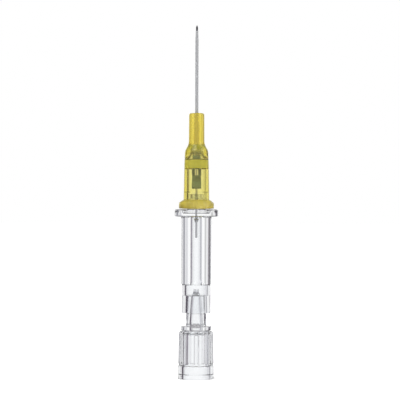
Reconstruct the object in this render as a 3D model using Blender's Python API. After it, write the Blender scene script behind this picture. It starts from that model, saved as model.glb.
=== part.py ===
# Straight safety IV cannula of the yellow 24 gauge size, in metres, with +Z up the needle.
# It stands on the open end of its vent plug, whose rim is at z = 0, and every piece is round that one axis.
# From the bottom up: vent plug, needle hub with the push-off plate, catheter hub, catheter tube.
# The needle runs through the upper three, and the safety clip rides on it inside the catheter hub.

import math

import bmesh
import bpy
from mathutils import Matrix

# Clearances
FIT_GAP = 0.02e-3  # between two tapers or walls that seat in each other
RUNNING_GAP = 0.015e-3  # round the needle and the tube
STACK_GAP = 0.12e-3  # between the push-off plate and the catheter hub
CUT_OVERRUN = 0.5e-3  # how far a cutter runs past what it cuts

# Edges
EDGE = 0.15e-3  # small moulded edge break
FINE_EDGE = 0.03e-3  # edge break on the thin steel and film edges

# Vent plug: open cup at the bottom, ribbed grip, neck, disc, taper and nozzle
PLUG_RADIUS = 4.05e-3
PLUG_BAND_HEIGHT = 2.75e-3
PLUG_BAND_SLOPE_HEIGHT = 0.68e-3
PLUG_GRIP_REAR_RADIUS = 3.85e-3  # between the ribs, next to the band
PLUG_GRIP_FRONT_RADIUS = 3.75e-3  # between the ribs, next to the shoulder
PLUG_GRIP_HEIGHT = 6.57e-3
PLUG_SHOULDER_HEIGHT = 0.9e-3
RIB_HEIGHT = 0.11e-3
RIB_COUNT = 14
PLUG_NECK_RADIUS = 3.2e-3
PLUG_NECK_HEIGHT = 0.2e-3
PLUG_DISC_RADIUS = 3.45e-3
PLUG_DISC_THICKNESS = 0.85e-3
PLUG_COLLAR_RADIUS = 2.3e-3
PLUG_COLLAR_HEIGHT = 2.85e-3
PLUG_TAPER_LENGTH = 6.9e-3
PLUG_TAPER_TIP_RADIUS = 1.93e-3
PLUG_NOZZLE_LENGTH = 1.45e-3
PLUG_NOZZLE_BASE_RADIUS = 1.0e-3
PLUG_NOZZLE_TIP_RADIUS = 0.6e-3
PLUG_NOZZLE_STRAIGHT = 0.6e-3  # of the nozzle behind its tip, before it flares
PLUG_NOZZLE_BORE_RADIUS = 0.3e-3
PLUG_LUMEN_REAR_RADIUS = 1.2e-3
PLUG_LUMEN_FRONT_RADIUS = 0.78e-3
PLUG_CUP_MOUTH_RADIUS = 2.86e-3
PLUG_CUP_REAR_RADIUS = 2.75e-3
PLUG_CUP_FRONT_RADIUS = 2.45e-3
PLUG_CUP_ROOF_RADIUS = 1.95e-3
PLUG_CUP_MOUTH_DEPTH = 1.15e-3
PLUG_CUP_ROOF_DEPTH = 0.3e-3  # from the disc's front face down to the cup's roof
PLUG_CUP_SLOPE_HEIGHT = 0.95e-3  # over which the cup narrows to its roof
PLUG_HOLDER_RADIUS = 1.3e-3  # short tube round the filter, down from the cup's roof
PLUG_HOLDER_HEIGHT = 1.55e-3
FILTER_RADIUS = 1.05e-3
FILTER_THICKNESS = 0.55e-3
FILTER_LIP_WIDTH = 0.12e-3
FILTER_LIP_THICKNESS = 0.15e-3

# Needle hub: round rear with the socket, grip with round windows on the flash chamber, plate and nose
PLUG_ENTRY = 3.87e-3  # how deep the plug's taper sits in the socket
HUB_REAR_RADIUS = 3.28e-3
HUB_REAR_LENGTH = 6.4e-3
SOCKET_HEADROOM = 0.5e-3  # from the plug's nozzle to the socket's end
CHAMBER_REAR_RADIUS = 1.36e-3
CHAMBER_FLARE_LENGTH = 1.6e-3
GRIP_LEDGE = 0.1e-3
GRIP_REAR_RADIUS = 3.4e-3
GRIP_FRONT_RADIUS = 3.5e-3
GRIP_LENGTH = 15.44e-3
CHAMBER_RADIUS = 1.05e-3
BOSS_LENGTH = 1.29e-3  # fillet in the chamber's end, round the needle
BOSS_TIP_WALL = 0.07e-3
PLATE_RADIUS = 4.95e-3
PLATE_HALF_DEPTH = 3.9e-3
PLATE_THICKNESS = 1.66e-3
PLATE_EDGE = 0.35e-3
PLATE_SLOPE_HEIGHT = 0.9e-3  # of the plate's upper part, whose front and back lean inwards
NOSE_LENGTH = 3.45e-3
NOSE_TIP_RADIUS = 1.93e-3
RECESS_RADIUS = 0.98e-3
RECESS_DEPTH = 1.05e-3
BEAD_RIM_HEIGHT = 0.6e-3
BEAD_CROWN_HEIGHT = 0.82e-3

# Needle
NEEDLE_RADIUS = 0.23e-3
NEEDLE_BORE_RADIUS = 0.13e-3
NEEDLE_STUB = 3.5e-3  # below the boss, in the flash chamber
NEEDLE_SHOW = 1.4e-3  # beyond the catheter's tip
BEVEL_LENGTH = 1.5e-3
LANCET_LENGTH = 0.6e-3
BULGE_HEIGHT = 0.025e-3
BULGE_LENGTH = 0.4e-3
BULGE_TO_TIP = 7.4e-3
NOTCH_OFFSET = 0.1e-3  # from the bulge to the notch
NOTCH_LENGTH = 1.25e-3
NOTCH_WIDTH = 0.22e-3

# Safety clip: one folded strip, whose arms cross beside the needle
CLIP_THICKNESS = 0.15e-3
CLIP_STANDOFF = 1.25e-3  # from the nose to the clip's base
CLIP_HALF_WIDTH = 0.95e-3
CLIP_HALF_DEPTH = 1.25e-3
CLIP_NECK_GAP = 0.13e-3  # from the needle to the arm's neck
CLIP_NECK_WIDTH = 0.7e-3
CLIP_END_HALF_WIDTH = 0.86e-3
CLIP_END_HALF_DEPTH = 0.85e-3
CLIP_LIP_GAP = 0.1e-3  # from the needle to the lips
CLIP_BEND = 0.22e-3
CLIP_OVERREACH = 0.25e-3  # of the lips past the needle's tip, when the base meets the bulge

# Catheter hub
FLANGE_HEIGHT = 1.88e-3
LUG_RADIUS = 3.98e-3
LUG_ROOT_RADIUS = 3.3e-3
LUG_LEAD = 5.0e-3  # of the two-start thread that the lugs are cut from
LUG_LAND = 1.23e-3
LUG_FLANK = 0.6e-3
BODY_REAR_RADIUS = 2.93e-3
BODY_MIDDLE_RADIUS = 2.8e-3
BODY_FRONT_RADIUS = 2.66e-3
SHOULDER_LENGTH = 1.6e-3
SPOUT_REAR_RADIUS = 1.78e-3
SPOUT_FRONT_RADIUS = 1.73e-3
SPOUT_LENGTH = 7.0e-3
SPOUT_EDGE = 0.45e-3
CLIP_PLAY = 0.17e-3  # round the clip's corners in its chamber
RIDGE_HEIGHT = 0.2e-3
RIDGE_LENGTH = 1.8e-3
RIDGE_TO_CLIP_END = 1.3e-3
FRONT_CAVITY_RADIUS = 2.0e-3
CLIP_HEADROOM = 0.5e-3  # from the clip's end to the wedge
CAVITY_STEP = 0.25e-3
SOCKET_RUN_ON = 0.35e-3  # of the hub's socket past the nose

# Steel wedge and catheter tube
WEDGE_WALL = 0.055e-3
WEDGE_RADIUS = 1.08e-3
WEDGE_COLLAR = 0.3e-3
WEDGE_FUNNEL_LENGTH = 1.8e-3
WEDGE_TUBE_LENGTH = 4.0e-3
TUBE_PLAY = 0.045e-3  # between the needle and the tube
TUBE_WALL = 0.085e-3
TUBE_TIP_WALL = 0.03e-3
TUBE_TIP_TAPER = 2.2e-3
TUBE_EXPOSED = 18.7e-3
TUBE_FLARE_STEP = 0.5e-3
TUBE_GRIP_START = 0.15e-3  # from the funnel to the tube's rear end

# Shares and counts
TAPER_SHARE = 0.03  # radius gained for each unit of length, the 6 percent taper of medical fittings
LUG_SPAN_SHARE = 0.9  # of each half turn that a lug covers
LUG_END_SHARE = 0.08  # of each half turn that a lug's end slopes over
SHOULDER_SHARES = ((0.0, 0.0), (0.21, 0.32), (0.61, 0.7))  # inward and upward, for the hub's shoulder
BOSS_SHARES = ((0.12, 0.3), (0.5, 0.7))  # outward from the needle and upward, for the boss's hollow sides
CLIP_WIDE_SHARES = ((-0.92, 0.2), (-0.35, 0.35))  # of the clip's depth and length, for the arm's wide rear part
CLIP_NECK_SHARES = ((-0.3, 0.4), (0.3, 0.61))
CLIP_END_SHARES = ((0.35, 0.66),)
PLATE_SLOPE_SHARE = 0.5  # inward for each unit of height, at the plate's front and back
WINDOW_FACETS = 3  # of a round window, to each side of its middle
LUG_RINGS = 5  # steps between the six rings of the flange
RIB_FLANK_SHARE = 0.4  # of one facet that a rib's flank spans
RIB_FACETS = 5
HUB_FACETS = 48
TUBE_FACETS = 24
PLUG_FACETS = RIB_COUNT * RIB_FACETS
ARC_STEPS = 3

# Heights on the axis, from the floor up
PLUG_RIB_START = PLUG_BAND_HEIGHT + PLUG_BAND_SLOPE_HEIGHT
PLUG_RIB_END = PLUG_RIB_START + PLUG_GRIP_HEIGHT
PLUG_NECK_START = PLUG_RIB_END + PLUG_SHOULDER_HEIGHT
PLUG_DISC_START = PLUG_NECK_START + PLUG_NECK_HEIGHT
PLUG_DISC_END = PLUG_DISC_START + PLUG_DISC_THICKNESS
PLUG_CUP_ROOF = PLUG_DISC_END - PLUG_CUP_ROOF_DEPTH
PLUG_HOLDER_END = PLUG_CUP_ROOF - PLUG_HOLDER_HEIGHT
PLUG_COLLAR_END = PLUG_DISC_END + PLUG_COLLAR_HEIGHT
PLUG_TAPER_TIP = PLUG_DISC_END + PLUG_TAPER_LENGTH
PLUG_NOZZLE_TIP = PLUG_TAPER_TIP + PLUG_NOZZLE_LENGTH
FILTER_SEAT = PLUG_DISC_END + FILTER_LIP_THICKNESS
HUB_REAR = PLUG_TAPER_TIP - PLUG_ENTRY
SOCKET_END = PLUG_NOZZLE_TIP + SOCKET_HEADROOM
GRIP_REAR = HUB_REAR + HUB_REAR_LENGTH
PLATE_BOTTOM = GRIP_REAR + GRIP_LENGTH
PLATE_TOP = PLATE_BOTTOM + PLATE_THICKNESS
NOSE_TIP = PLATE_TOP + NOSE_LENGTH
RECESS_FLOOR = NOSE_TIP - RECESS_DEPTH
BOSS_TIP = PLATE_BOTTOM - BOSS_LENGTH
CLIP_BASE = NOSE_TIP + CLIP_STANDOFF
CLIP_END = CLIP_BASE + CLIP_THICKNESS + BULGE_TO_TIP + CLIP_OVERREACH
CATHETER_REAR = PLATE_TOP + STACK_GAP
FLANGE_TOP = CATHETER_REAR + FLANGE_HEIGHT
RIDGE_END = CLIP_END - RIDGE_TO_CLIP_END
RIDGE_START = RIDGE_END - RIDGE_LENGTH
WEDGE_REAR = CLIP_END + CLIP_HEADROOM
WEDGE_TUBE_START = WEDGE_REAR + WEDGE_FUNNEL_LENGTH
WEDGE_TIP = WEDGE_TUBE_START + WEDGE_TUBE_LENGTH
BODY_END = WEDGE_REAR + CAVITY_STEP
SPOUT_START = BODY_END + SHOULDER_LENGTH
SPOUT_TIP = SPOUT_START + SPOUT_LENGTH
TUBE_REAR = WEDGE_TUBE_START + TUBE_GRIP_START
TUBE_GRIP_END = WEDGE_TIP + EDGE
TUBE_FLARE_END = TUBE_GRIP_END + TUBE_FLARE_STEP
TUBE_TIP = SPOUT_TIP + TUBE_EXPOSED
NEEDLE_REAR = BOSS_TIP - NEEDLE_STUB
NEEDLE_TIP = TUBE_TIP + NEEDLE_SHOW
BULGE_START = NEEDLE_TIP - BULGE_TO_TIP

# Radii that follow from a mating piece
FILTER_BORE_RADIUS = FILTER_RADIUS + FIT_GAP
NEEDLE_HOLE_RADIUS = NEEDLE_RADIUS + RUNNING_GAP
TUBE_BORE_RADIUS = NEEDLE_RADIUS + TUBE_PLAY
TUBE_RADIUS = TUBE_BORE_RADIUS + TUBE_WALL
WEDGE_TUBE_RADIUS = TUBE_BORE_RADIUS + WEDGE_WALL
TUBE_GRIP_BORE_RADIUS = WEDGE_TUBE_RADIUS + RUNNING_GAP
TUBE_GRIP_RADIUS = TUBE_GRIP_BORE_RADIUS + TUBE_WALL
CLIP_CHAMBER_RADIUS = math.hypot(CLIP_HALF_WIDTH, CLIP_HALF_DEPTH + CLIP_THICKNESS) + CLIP_PLAY
RIDGE_RADIUS = CLIP_CHAMBER_RADIUS - RIDGE_HEIGHT


def clear_scene():
    for thing in list(bpy.data.objects):
        bpy.data.objects.remove(thing, do_unlink=True)


def material(name, colour, roughness, metallic=0.0, alpha=1.0):
    made = bpy.data.materials.new(name)
    made.use_nodes = True
    shader = made.node_tree.nodes["Principled BSDF"]
    shader.inputs["Base Color"].default_value = (*colour, 1.0)
    shader.inputs["Roughness"].default_value = roughness
    shader.inputs["Metallic"].default_value = metallic
    shader.inputs["Alpha"].default_value = alpha
    return made


def arc(centre_radius, centre_height, width, height, start, end, steps=ARC_STEPS):
    # Points of a quarter or other stretch of an ellipse, by angles in degrees from the outward direction.
    points = []
    for step in range(steps + 1):
        angle = math.radians(start + (end - start) * step / steps)
        points.append((centre_radius + width * math.cos(angle), centre_height + height * math.sin(angle)))
    return points


def spin_profile(profile, facets):
    # A closed ring of (radius, height) points, turned once round the axis.
    mesh = bmesh.new()
    ring = [mesh.verts.new((radius, 0.0, height)) for radius, height in profile]
    edges = [mesh.edges.new((ring[i - 1], ring[i])) for i in range(len(ring))]
    bmesh.ops.spin(
        mesh, geom=ring + edges, cent=(0, 0, 0), axis=(0, 0, 1), dvec=(0, 0, 0),
        angle=math.tau, steps=facets, use_merge=True, use_normal_flip=False, use_duplicate=False,
    )
    bmesh.ops.recalc_face_normals(mesh, faces=mesh.faces)
    return mesh


def put_in_scene(mesh, name, seat, parent, surface, sharp_degrees=28.0):
    # The object's origin goes on the axis at its seat, and its mesh keeps its place.
    bmesh.ops.translate(mesh, verts=mesh.verts, vec=(0, 0, -seat))
    data = bpy.data.meshes.new(name)
    mesh.to_mesh(data)
    mesh.free()
    data.materials.append(surface)
    data.shade_smooth()
    data.set_sharp_from_angle(angle=math.radians(sharp_degrees))
    piece = bpy.data.objects.new(name, data)
    bpy.context.collection.objects.link(piece)
    hang(piece, seat, parent)
    return piece


def hang(thing, height, parent):
    thing.location = (0, 0, height)
    if parent:
        thing.parent = parent
        thing.matrix_parent_inverse = Matrix.Translation((0, 0, -parent["height"]))


def carrier(name, height, parent=None):
    # An empty at the height where a moving unit seats, for the pieces that travel together.
    empty = bpy.data.objects.new(name, None)
    empty["height"] = height
    empty.empty_display_size = PLUG_RADIUS
    bpy.context.collection.objects.link(empty)
    hang(empty, height, parent)
    return empty


def cutter(mesh, name, height, parent):
    data = bpy.data.meshes.new(name)
    mesh.to_mesh(data)
    mesh.free()
    tool = bpy.data.objects.new(name, data)
    bpy.context.collection.objects.link(tool)
    tool.hide_render = True
    tool.display_type = "WIRE"
    hang(tool, height, parent)
    return tool


def cut(piece, tool):
    step = piece.modifiers.new("cut_" + tool.name, "BOOLEAN")
    step.operation = "DIFFERENCE"
    step.solver = "EXACT"
    step.object = tool


def limit(value, low, high):
    return max(low, min(high, value))


def shape_front_and_back(mesh):
    # The plate gets flats at its front and back that keep its rounded edge and lean inwards
    # in its upper part, and the grip gets round windows there, level with the round rear.
    facet = math.tau / HUB_FACETS
    for vert in mesh.verts:
        radius = math.hypot(vert.co.x, vert.co.y)
        facets_from_middle = round(math.atan2(abs(vert.co.x), abs(vert.co.y)) / facet)
        if radius > GRIP_FRONT_RADIUS + FINE_EDGE:
            rise = max(0.0, vert.co.z - PLATE_TOP + PLATE_SLOPE_HEIGHT)
            half_depth = PLATE_HALF_DEPTH - (PLATE_RADIUS - radius) - rise * PLATE_SLOPE_SHARE
            vert.co.y = limit(vert.co.y, -half_depth, half_depth)
        elif radius > HUB_REAR_RADIUS + FINE_EDGE and facets_from_middle <= WINDOW_FACETS:
            vert.co.x *= HUB_REAR_RADIUS / radius
            vert.co.y *= HUB_REAR_RADIUS / radius


def plug_taper_radius(height):
    return PLUG_TAPER_TIP_RADIUS + TAPER_SHARE * (PLUG_TAPER_TIP - height)


def nose_taper_radius(height):
    return NOSE_TIP_RADIUS + TAPER_SHARE * (NOSE_TIP - height)


def raise_ribs(mesh):
    # Each rib is one facet wide on top, with a flank at each side.
    facet = math.tau / PLUG_FACETS
    for vert in mesh.verts:
        radius = math.hypot(vert.co.x, vert.co.y)
        on_grip = PLUG_RIB_START - FINE_EDGE < vert.co.z < PLUG_RIB_END + FINE_EDGE
        if not on_grip or radius < PLUG_CUP_MOUTH_RADIUS:
            continue
        index = round(math.atan2(vert.co.y, vert.co.x) / facet)
        place = index % RIB_FACETS
        angle = index * facet
        if place in (0, 1):
            radius += RIB_HEIGHT
        elif place == 2:
            angle -= facet * (1 - RIB_FLANK_SHARE)
        elif place == RIB_FACETS - 1:
            angle += facet * (1 - RIB_FLANK_SHARE)
        vert.co.x = radius * math.cos(angle)
        vert.co.y = radius * math.sin(angle)


def build_vent_plug(surface):
    grip_shoulder = arc(
        PLUG_NECK_RADIUS, PLUG_RIB_END,
        PLUG_GRIP_FRONT_RADIUS - PLUG_NECK_RADIUS, PLUG_SHOULDER_HEIGHT, 0, 90,
    )
    outside = [
        (PLUG_RADIUS - EDGE, 0.0),
        (PLUG_RADIUS, EDGE),
        (PLUG_RADIUS, PLUG_BAND_HEIGHT),
        (PLUG_GRIP_REAR_RADIUS, PLUG_RIB_START),
        *grip_shoulder,
        (PLUG_NECK_RADIUS, PLUG_DISC_START),
        (PLUG_DISC_RADIUS - EDGE, PLUG_DISC_START),
        (PLUG_DISC_RADIUS, PLUG_DISC_START + EDGE),
        (PLUG_DISC_RADIUS, PLUG_DISC_END - EDGE),
        (PLUG_DISC_RADIUS - EDGE, PLUG_DISC_END),
        (PLUG_COLLAR_RADIUS, PLUG_DISC_END),
        (PLUG_COLLAR_RADIUS, PLUG_COLLAR_END - EDGE),
        (PLUG_COLLAR_RADIUS - EDGE, PLUG_COLLAR_END),
        (plug_taper_radius(PLUG_COLLAR_END), PLUG_COLLAR_END),
        (plug_taper_radius(PLUG_TAPER_TIP - EDGE), PLUG_TAPER_TIP - EDGE),
        (PLUG_TAPER_TIP_RADIUS - EDGE, PLUG_TAPER_TIP),
        (PLUG_NOZZLE_BASE_RADIUS, PLUG_TAPER_TIP),
        (PLUG_NOZZLE_TIP_RADIUS, PLUG_NOZZLE_TIP - PLUG_NOZZLE_STRAIGHT),
        (PLUG_NOZZLE_TIP_RADIUS, PLUG_NOZZLE_TIP),
    ]
    lip_radius = FILTER_BORE_RADIUS - FILTER_LIP_WIDTH
    lip_end = FILTER_SEAT + FILTER_LIP_THICKNESS
    lumen = [
        (PLUG_NOZZLE_BORE_RADIUS, PLUG_NOZZLE_TIP),
        (PLUG_NOZZLE_BORE_RADIUS, PLUG_TAPER_TIP + EDGE),
        (PLUG_LUMEN_FRONT_RADIUS, PLUG_TAPER_TIP - EDGE),
        (PLUG_LUMEN_REAR_RADIUS, lip_end),
        (lip_radius, lip_end),
        (lip_radius, FILTER_SEAT),
        (FILTER_BORE_RADIUS, FILTER_SEAT),
        (FILTER_BORE_RADIUS, PLUG_HOLDER_END),
    ]
    cup = [
        (PLUG_HOLDER_RADIUS, PLUG_HOLDER_END),
        (PLUG_HOLDER_RADIUS, PLUG_CUP_ROOF),
        (PLUG_CUP_ROOF_RADIUS, PLUG_CUP_ROOF),
        (PLUG_CUP_FRONT_RADIUS, PLUG_CUP_ROOF - PLUG_CUP_SLOPE_HEIGHT),
        (PLUG_CUP_FRONT_RADIUS, PLUG_BAND_HEIGHT + EDGE),
        (PLUG_CUP_REAR_RADIUS, PLUG_BAND_HEIGHT),
        (PLUG_CUP_REAR_RADIUS, PLUG_CUP_MOUTH_DEPTH),
        (PLUG_CUP_MOUTH_RADIUS, PLUG_CUP_MOUTH_DEPTH - EDGE),
        (PLUG_CUP_MOUTH_RADIUS, 0.0),
    ]
    mesh = spin_profile(outside + lumen + cup, PLUG_FACETS)
    raise_ribs(mesh)
    plug = put_in_scene(mesh, "vent_plug", 0.0, None, surface)
    plug.rotation_euler.z = math.pi / PLUG_FACETS  # brings a plain stretch between two ribs to the front
    return plug


def build_vent_filter(surface):
    mesh = bmesh.new()
    top = FILTER_SEAT - FIT_GAP
    bmesh.ops.create_cone(
        mesh, cap_ends=True, segments=PLUG_FACETS, radius1=FILTER_RADIUS, radius2=FILTER_RADIUS,
        depth=FILTER_THICKNESS, matrix=Matrix.Translation((0, 0, top - FILTER_THICKNESS / 2)),
    )
    return put_in_scene(mesh, "vent_filter", top, None, surface)


def build_needle_hub(surface, parent):
    outside = [
        (HUB_REAR_RADIUS - EDGE, HUB_REAR),
        (HUB_REAR_RADIUS, HUB_REAR + EDGE),
        (HUB_REAR_RADIUS, GRIP_REAR),
        (GRIP_REAR_RADIUS, GRIP_REAR + GRIP_LEDGE),
        (GRIP_FRONT_RADIUS, PLATE_BOTTOM),
        *arc(PLATE_RADIUS - PLATE_EDGE, PLATE_BOTTOM + PLATE_EDGE, PLATE_EDGE, PLATE_EDGE, -90, 0),
        (PLATE_RADIUS, PLATE_TOP - PLATE_SLOPE_HEIGHT),
        *arc(PLATE_RADIUS - PLATE_EDGE, PLATE_TOP - PLATE_EDGE, PLATE_EDGE, PLATE_EDGE, 0, 90),
        (nose_taper_radius(PLATE_TOP), PLATE_TOP),
        (nose_taper_radius(NOSE_TIP - EDGE), NOSE_TIP - EDGE),
        (NOSE_TIP_RADIUS - EDGE, NOSE_TIP),
    ]
    needle_passage = [
        (RECESS_RADIUS, NOSE_TIP),
        (RECESS_RADIUS, RECESS_FLOOR),
        (NEEDLE_HOLE_RADIUS, RECESS_FLOOR),
        (NEEDLE_HOLE_RADIUS, BOSS_TIP),
    ]
    boss_tip_radius = NEEDLE_HOLE_RADIUS + BOSS_TIP_WALL
    boss = [
        (boss_tip_radius + outward * (CHAMBER_RADIUS - boss_tip_radius), BOSS_TIP + upward * BOSS_LENGTH)
        for outward, upward in ((0, 0), *BOSS_SHARES)
    ]
    chamber = [
        (CHAMBER_RADIUS, PLATE_BOTTOM),
        (CHAMBER_RADIUS, SOCKET_END + CHAMBER_FLARE_LENGTH),
        (CHAMBER_REAR_RADIUS, SOCKET_END),
    ]
    socket_mouth = plug_taper_radius(HUB_REAR) + FIT_GAP
    socket = [
        (plug_taper_radius(SOCKET_END) + FIT_GAP, SOCKET_END),
        (plug_taper_radius(HUB_REAR + EDGE) + FIT_GAP, HUB_REAR + EDGE),
        (socket_mouth + EDGE, HUB_REAR),
    ]
    mesh = spin_profile(outside + needle_passage + boss + chamber + socket, HUB_FACETS)
    shape_front_and_back(mesh)
    return put_in_scene(mesh, "needle_hub", HUB_REAR, parent, surface)


def build_needle_adhesive(surface, parent):
    bead_radius = RECESS_RADIUS - FIT_GAP
    bottom = RECESS_FLOOR + FIT_GAP
    profile = [
        (bead_radius, bottom),
        (bead_radius, RECESS_FLOOR + BEAD_RIM_HEIGHT),
        ((bead_radius + NEEDLE_HOLE_RADIUS) / 2, RECESS_FLOOR + BEAD_RIM_HEIGHT - FINE_EDGE),
        (NEEDLE_HOLE_RADIUS, RECESS_FLOOR + BEAD_CROWN_HEIGHT),
        (NEEDLE_HOLE_RADIUS, bottom),
    ]
    mesh = spin_profile(profile, TUBE_FACETS)
    return put_in_scene(mesh, "needle_adhesive", bottom, parent, surface)


def grind_bevel(mesh):
    # A long primary bevel that faces the front, and two lancet facets that meet in the point.
    for vert in mesh.verts:
        if vert.co.z < NEEDLE_TIP - FINE_EDGE:
            continue
        primary = BEVEL_LENGTH * (NEEDLE_RADIUS - vert.co.y) / (2 * NEEDLE_RADIUS)
        lancet = LANCET_LENGTH * abs(vert.co.x) / NEEDLE_RADIUS
        vert.co.z = NEEDLE_TIP - max(primary, lancet)


def build_needle(surface, parent):
    bulge_radius = NEEDLE_RADIUS + BULGE_HEIGHT
    profile = [
        (NEEDLE_RADIUS - FINE_EDGE, NEEDLE_REAR),
        (NEEDLE_RADIUS, NEEDLE_REAR + FINE_EDGE),
        (NEEDLE_RADIUS, BULGE_START),
        (bulge_radius, BULGE_START + BULGE_LENGTH / 4),
        (bulge_radius, BULGE_START + BULGE_LENGTH * 3 / 4),
        (NEEDLE_RADIUS, BULGE_START + BULGE_LENGTH),
        (NEEDLE_RADIUS, NEEDLE_TIP),
        (NEEDLE_BORE_RADIUS, NEEDLE_TIP),
        (NEEDLE_BORE_RADIUS, NEEDLE_REAR),
    ]
    mesh = spin_profile(profile, TUBE_FACETS)
    grind_bevel(mesh)
    needle = put_in_scene(mesh, "needle", NEEDLE_REAR, parent, surface)

    notch = bmesh.new()
    bmesh.ops.create_cube(notch, size=1.0)
    back = -NEEDLE_BORE_RADIUS / 2
    front = -NEEDLE_RADIUS - CUT_OVERRUN
    bmesh.ops.scale(notch, verts=notch.verts, vec=(NOTCH_WIDTH, back - front, NOTCH_LENGTH))
    bmesh.ops.translate(notch, verts=notch.verts, vec=(0, (back + front) / 2, 0))
    notch_centre = BULGE_START + BULGE_LENGTH + NOTCH_OFFSET + NOTCH_LENGTH / 2
    cut(needle, cutter(notch, "notch_cutter", notch_centre, parent))
    return needle


def clip_arm():
    # Stations from the base to the lip as (depth, height, left edge, right edge), for the arm
    # that starts at the front, passes on the needle's right and ends at the back.
    level = CLIP_BASE + CLIP_THICKNESS / 2
    length = CLIP_END - CLIP_BASE
    wide = (-CLIP_HALF_WIDTH, CLIP_HALF_WIDTH)
    neck = (NEEDLE_RADIUS + CLIP_NECK_GAP, NEEDLE_RADIUS + CLIP_NECK_GAP + CLIP_NECK_WIDTH)
    end = (-CLIP_END_HALF_WIDTH, CLIP_END_HALF_WIDTH)
    lip_level = CLIP_END - CLIP_THICKNESS / 2
    lip_depth = NEEDLE_RADIUS + CLIP_LIP_GAP
    bend = arc(-CLIP_HALF_DEPTH + CLIP_BEND, level + CLIP_BEND, CLIP_BEND, CLIP_BEND, 270, 180, 2)
    stations = [(depth, height, *wide) for depth, height in bend]
    for shares, edges in ((CLIP_WIDE_SHARES, wide), (CLIP_NECK_SHARES, neck), (CLIP_END_SHARES, end)):
        for depth, height in shares:
            stations.append((depth * CLIP_HALF_DEPTH, CLIP_BASE + height * length, *edges))
    lip_bend = arc(CLIP_END_HALF_DEPTH - CLIP_BEND, lip_level - CLIP_BEND, CLIP_BEND, CLIP_BEND, 0, 90, 2)
    stations += [(depth, height, *end) for depth, height in lip_bend]
    stations.append((lip_depth, lip_level, *end))
    return stations


def build_safety_clip(surface, parent):
    arm = clip_arm()
    other_arm = [(-depth, height, -right, -left) for depth, height, left, right in arm]
    mesh = bmesh.new()
    rows = [
        (mesh.verts.new((left, depth, height)), mesh.verts.new((right, depth, height)))
        for depth, height, left, right in other_arm[::-1] + arm
    ]
    for (left, right), (next_left, next_right) in zip(rows, rows[1:]):
        mesh.faces.new((left, right, next_right, next_left))
    clip = put_in_scene(mesh, "safety_clip", CLIP_BASE, parent, surface)
    wall = clip.modifiers.new("strip", "SOLIDIFY")
    wall.thickness = CLIP_THICKNESS
    wall.offset = 0.0
    wall.use_even_offset = True

    hole = bmesh.new()
    depth = CLIP_THICKNESS + 2 * CUT_OVERRUN
    bmesh.ops.create_cone(
        hole, cap_ends=True, segments=TUBE_FACETS,
        radius1=NEEDLE_HOLE_RADIUS, radius2=NEEDLE_HOLE_RADIUS, depth=depth,
    )
    cut(clip, cutter(hole, "clip_hole_cutter", CLIP_BASE + CLIP_THICKNESS / 2, parent))
    return clip


def wind_lugs(mesh):
    # Winds the flange's rings into two lugs of a right-hand thread, whose middles are at the sides.
    # The rings are, from the bottom: edge, foot, land start, land end, foot, edge.
    step = FLANGE_HEIGHT / LUG_RINGS
    half_turn = math.pi
    for vert in mesh.verts:
        radius = math.hypot(vert.co.x, vert.co.y)
        if radius < BODY_REAR_RADIUS + FINE_EDGE:
            continue
        ring = round((vert.co.z - CATHETER_REAR) / step)
        if ring in (0, LUG_RINGS):
            continue
        angle = math.atan2(vert.co.y, vert.co.x)
        offset = (angle + half_turn / 2) % half_turn - half_turn / 2
        rise = LUG_LEAD * offset / math.tau
        heights = (None, rise - LUG_FLANK, rise, rise + LUG_LAND, rise + LUG_LAND + LUG_FLANK)
        low = ring * FINE_EDGE
        high = FLANGE_HEIGHT - (LUG_RINGS - ring) * FINE_EDGE
        vert.co.z = CATHETER_REAR + limit(heights[ring], low, high)
        if radius > LUG_ROOT_RADIUS + FINE_EDGE:
            to_end = half_turn * LUG_SPAN_SHARE / 2 - abs(offset)
            fullness = limit(to_end / (half_turn * LUG_END_SHARE), 0.0, 1.0)
            wanted = LUG_ROOT_RADIUS + (LUG_RADIUS - LUG_ROOT_RADIUS) * fullness
            vert.co.x *= wanted / radius
            vert.co.y *= wanted / radius


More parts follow.
